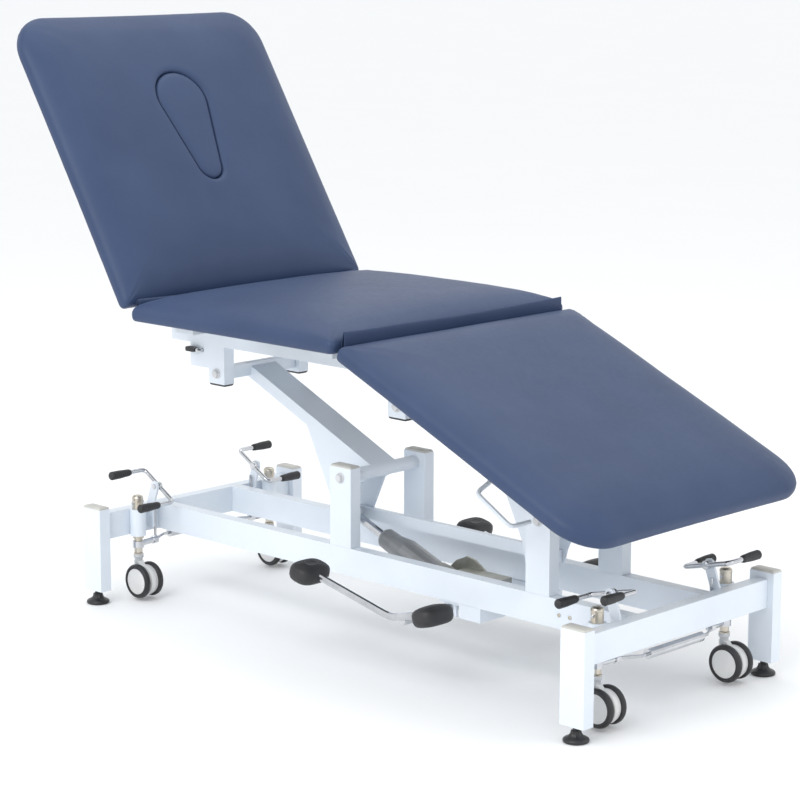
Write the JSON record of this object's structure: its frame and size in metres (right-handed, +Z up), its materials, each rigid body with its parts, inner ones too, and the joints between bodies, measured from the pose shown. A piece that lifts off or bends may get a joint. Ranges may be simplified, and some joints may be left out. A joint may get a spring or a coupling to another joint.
{
  "type": "hydraulic examination couch",
  "caption": "Adjustable three-section examination couch: navy padded sections on a white tubular frame with a hydraulic parallelogram lift, foot pedals and castors.",
  "frame": {"origin": "on the floor, under the middle of the whole couch's bounding box", "axes": "+X from the head end towards the foot end, +Y to the left of a person lying on the couch, +Z up"},
  "size_m": [1.606, 0.686, 1.2473],
  "materials": {
    "white_paint": "satin white stove enamel",
    "navy_vinyl": "navy blue vinyl with a fine leather grain",
    "bright_chrome": "bright chrome plate",
    "zinc_plate": "dull yellowish zinc plate",
    "dark_paint": "dark grey gloss paint",
    "black_plastic": "black moulded plastic",
    "black_rubber": "black ribbed rubber",
    "grey_plastic": "mid grey nylon",
    "tyre_rubber": "black castor tread with pale hub discs"
  },
  "bodies": {
    "base_frame": {"base_rail_left": "white_paint", "base_rail_right": "white_paint", "base_cross_tube_head": "white_paint", "base_cross_tube_foot": "white_paint", "base_leg_head_left": "white_paint", "base_leg_head_right": "white_paint", "base_leg_foot_left": "white_paint", "base_leg_foot_right": "white_paint", "pivot_post_mid_left": "white_paint", "pivot_post_mid_right": "white_paint", "pivot_post_foot_left": "white_paint", "pivot_post_foot_right": "white_paint", "pump_beam": "white_paint", "hydraulic_pump": "zinc_plate"},
    "foot_head_right": {"levelling_foot_head_right": "black_plastic"},
    "foot_head_left": {"levelling_foot_head_left": "black_plastic"},
    "foot_foot_right": {"levelling_foot_foot_right": "black_plastic"},
    "foot_foot_left": {"levelling_foot_foot_left": "black_plastic"},
    "lift_front": {"lift_arm_front": "white_paint"},
    "lift_rear": {"lift_arm_rear": "white_paint"},
    "top_frame": {"top_rail_left": "white_paint", "top_rail_right": "white_paint", "seat_bearer_head": "white_paint", "seat_bearer_foot": "white_paint", "strut_cross_tube": "white_paint", "seat_cushion": "navy_vinyl"},
    "tie_bar": {"lift_tie_bar": "white_paint"},
    "cylinder": {"cylinder_barrel": "dark_paint"},
    "cylinder_piston": {"cylinder_rod": "bright_chrome"},
    "back_section": {"back_frame": "white_paint", "back_cushion": "navy_vinyl"},
    "face_plug": {"face_hole_plug": "navy_vinyl"},
    "leg_section": {"leg_frame": "white_paint", "leg_cushion": "navy_vinyl"},
    "back_strut": {"back_strut_barrel": "dark_paint"},
    "back_strut_piston": {"back_strut_rod": "bright_chrome"},
    "release_lever": {"back_release_lever": "bright_chrome"},
    "pump_pedals": {"pump_pedal_bars": "bright_chrome", "pedal_pad_long_right": "black_rubber", "pedal_pad_long_left": "black_rubber", "pedal_pad_short_right": "black_rubber", "pedal_pad_short_left": "black_rubber"},
    "castor_lift_head": {"castor_link_tube_head": "bright_chrome", "castor_stem_head_right": "zinc_plate", "castor_stem_head_left": "zinc_plate"},
    "rocker_head_right": {"castor_pedal_head_right": "bright_chrome"},
    "rocker_head_left": {"castor_pedal_head_left": "bright_chrome"},
    "yoke_head_right": {"castor_yoke_head_right": "grey_plastic"},
    "wheels_head_right": {"castor_wheels_head_right": "tyre_rubber"},
    "yoke_head_left": {"castor_yoke_head_left": "grey_plastic"},
    "wheels_head_left": {"castor_wheels_head_left": "tyre_rubber"},
    "castor_lift_foot": {"castor_link_tube_foot": "bright_chrome", "castor_stem_foot_right": "zinc_plate", "castor_stem_foot_left": "zinc_plate"},
    "rocker_foot_right": {"castor_pedal_foot_right": "bright_chrome"},
    "rocker_foot_left": {"castor_pedal_foot_left": "bright_chrome"},
    "yoke_foot_right": {"castor_yoke_foot_right": "grey_plastic"},
    "wheels_foot_right": {"castor_wheels_foot_right": "tyre_rubber"},
    "yoke_foot_left": {"castor_yoke_foot_left": "grey_plastic"},
    "wheels_foot_left": {"castor_wheels_foot_left": "tyre_rubber"}
  },
  "joints": [
    {"name": "foot_head_right_thread", "type": "hinge", "parent": "base_frame", "child": "foot_head_right", "pos_m": [-0.6, -0.286, 0], "axis": [0, 0, 1], "continuous": true},
    {"name": "foot_head_left_thread", "type": "hinge", "parent": "base_frame", "child": "foot_head_left", "pos_m": [-0.6, 0.286, 0], "axis": [0, 0, 1], "continuous": true},
    {"name": "foot_foot_right_thread", "type": "hinge", "parent": "base_frame", "child": "foot_foot_right", "pos_m": [0.739, -0.286, 0], "axis": [0, 0, 1], "continuous": true},
    {"name": "foot_foot_left_thread", "type": "hinge", "parent": "base_frame", "child": "foot_foot_left", "pos_m": [0.739, 0.286, 0], "axis": [0, 0, 1], "continuous": true},
    {"name": "lift", "type": "hinge", "parent": "base_frame", "child": "lift_front", "pos_m": [-0.0223, 0, 0.34], "axis": [0, 1, 0], "range_deg": [-9, 40]},
    {"name": "lift_rear_arm", "type": "hinge", "parent": "base_frame", "child": "lift_rear", "pos_m": [0.5043, 0, 0.34], "axis": [0, 1, 0], "range_deg": [-9, 40]},
    {"name": "top_frame_level", "type": "hinge", "parent": "lift_front", "child": "top_frame", "pos_m": [-0.3913, 0, 0.508], "axis": [0, 1, 0], "range_deg": [-40, 9]},
    {"name": "tie_bar_pivot", "type": "hinge", "parent": "lift_front", "child": "tie_bar", "pos_m": [-0.1053, 0, 0.232], "axis": [0, 1, 0], "range_deg": [-40, 9]},
    {"name": "cylinder_pivot", "type": "hinge", "parent": "base_frame", "child": "cylinder", "pos_m": [0.1545, 0, 0.13], "axis": [0, 1, 0], "range_deg": [-2.2, 8.8]},
    {"name": "cylinder_stroke", "type": "slide", "parent": "cylinder", "child": "cylinder_piston", "axis": [-0.9308, 0, 0.3655], "range_m": [-0.02, 0.084]},
    {"name": "back_tilt", "type": "hinge", "parent": "top_frame", "child": "back_section", "pos_m": [-0.427, 0, 0.65], "axis": [0, 1, 0], "range_deg": [-57.8, 12.2]},
    {"name": "face_plug_lift", "type": "slide", "parent": "back_section", "child": "face_plug", "axis": [0.8462, 0, 0.5329], "range_m": [0, 0.07]},
    {"name": "leg_tilt", "type": "hinge", "parent": "top_frame", "child": "leg_section", "pos_m": [0.161, 0, 0.6325], "axis": [0, 1, 0], "range_deg": [-24.1, 5]},
    {"name": "back_strut_pivot", "type": "hinge", "parent": "top_frame", "child": "back_strut", "pos_m": [-0.4685, 0, 0.6], "axis": [0, 1, 0], "range_deg": [-58.5, 12.7]},
    {"name": "back_strut_stroke", "type": "slide", "parent": "back_strut", "child": "back_strut_piston", "axis": [-0.4659, 0, 0.8849], "range_m": [-0.064, 0.015]},
    {"name": "release_lever", "type": "hinge", "parent": "top_frame", "child": "release_lever", "pos_m": [-0.4355, -0.112, 0.553], "axis": [0, 1, 0], "range_deg": [0, 18], "stiffness_Nm_per_rad": 2},
    {"name": "pump_pedals", "type": "hinge", "parent": "base_frame", "child": "pump_pedals", "pos_m": [0.2695, 0, 0.122], "axis": [0, 1, 0], "range_deg": [-12, 10], "stiffness_Nm_per_rad": 60, "springref_deg": 1.43},
    {"name": "rocker_head_right", "type": "hinge", "parent": "base_frame", "child": "rocker_head_right", "pos_m": [-0.5635, -0.1405, 0.241], "axis": [0, -1, 0], "range_deg": [0, 56]},
    {"name": "rocker_head_left", "type": "hinge", "parent": "base_frame", "child": "rocker_head_left", "pos_m": [-0.5635, 0.1405, 0.241], "axis": [0, -1, 0], "range_deg": [0, 56]},
    {"name": "castor_travel_head", "type": "slide", "parent": "base_frame", "child": "castor_lift_head", "axis": [0, 0, 1], "range_m": [-0.02034, 0.0003]},
    {"name": "yoke_head_right_swivel", "type": "hinge", "parent": "castor_lift_head", "child": "yoke_head_right", "pos_m": [-0.5705, -0.195, 0.1], "axis": [0, 0, 1], "continuous": true},
    {"name": "wheels_head_right_spin", "type": "hinge", "parent": "yoke_head_right", "child": "wheels_head_right", "pos_m": [-0.5525, -0.195, 0.0425], "axis": [0, 1, 0], "continuous": true},
    {"name": "yoke_head_left_swivel", "type": "hinge", "parent": "castor_lift_head", "child": "yoke_head_left", "pos_m": [-0.5705, 0.195, 0.1], "axis": [0, 0, 1], "continuous": true},
    {"name": "wheels_head_left_spin", "type": "hinge", "parent": "yoke_head_left", "child": "wheels_head_left", "pos_m": [-0.5525, 0.195, 0.0425], "axis": [0, 1, 0], "continuous": true},
    {"name": "rocker_foot_right", "type": "hinge", "parent": "base_frame", "child": "rocker_foot_right", "pos_m": [0.7025, -0.1405, 0.241], "axis": [0, 1, 0], "range_deg": [-16.5, 39.5]},
    {"name": "rocker_foot_left", "type": "hinge", "parent": "base_frame", "child": "rocker_foot_left", "pos_m": [0.7025, 0.1405, 0.241], "axis": [0, 1, 0], "range_deg": [-16.5, 39.5]},
    {"name": "castor_travel_foot", "type": "slide", "parent": "base_frame", "child": "castor_lift_foot", "axis": [0, 0, 1], "range_m": [-0.01443, 0.0062]},
    {"name": "yoke_foot_right_swivel", "type": "hinge", "parent": "castor_lift_foot", "child": "yoke_foot_right", "pos_m": [0.7095, -0.195, 0.1], "axis": [0, 0, 1], "continuous": true},
    {"name": "wheels_foot_right_spin", "type": "hinge", "parent": "yoke_foot_right", "child": "wheels_foot_right", "pos_m": [0.7275, -0.195, 0.0425], "axis": [0, 1, 0], "continuous": true},
    {"name": "yoke_foot_left_swivel", "type": "hinge", "parent": "castor_lift_foot", "child": "yoke_foot_left", "pos_m": [0.7095, 0.195, 0.1], "axis": [0, 0, 1], "continuous": true},
    {"name": "wheels_foot_left_spin", "type": "hinge", "parent": "yoke_foot_left", "child": "wheels_foot_left", "pos_m": [0.7275, 0.195, 0.0425], "axis": [0, 1, 0], "continuous": true}
  ],
  "couplings": [
    {"joint": "lift_rear_arm", "follows": "lift", "ratio": 1},
    {"joint": "top_frame_level", "follows": "lift", "ratio": -1},
    {"joint": "tie_bar_pivot", "follows": "lift", "ratio": -1},
    {"joint": "cylinder_pivot", "follows": "lift", "ratio": 0.2075},
    {"joint": "cylinder_stroke", "follows": "lift", "m_per_rad": 0.1178},
    {"joint": "back_strut_pivot", "follows": "back_tilt", "ratio": 1.0023},
    {"joint": "back_strut_stroke", "follows": "back_tilt", "m_per_rad": 0.062},
    {"joint": "rocker_head_left", "follows": "rocker_head_right", "ratio": 1},
    {"joint": "castor_travel_head", "follows": "rocker_head_right", "m_per_rad": -0.0205},
    {"joint": "rocker_foot_left", "follows": "rocker_foot_right", "ratio": 1},
    {"joint": "castor_travel_foot", "follows": "rocker_foot_right", "m_per_rad": -0.0205}
  ]
}
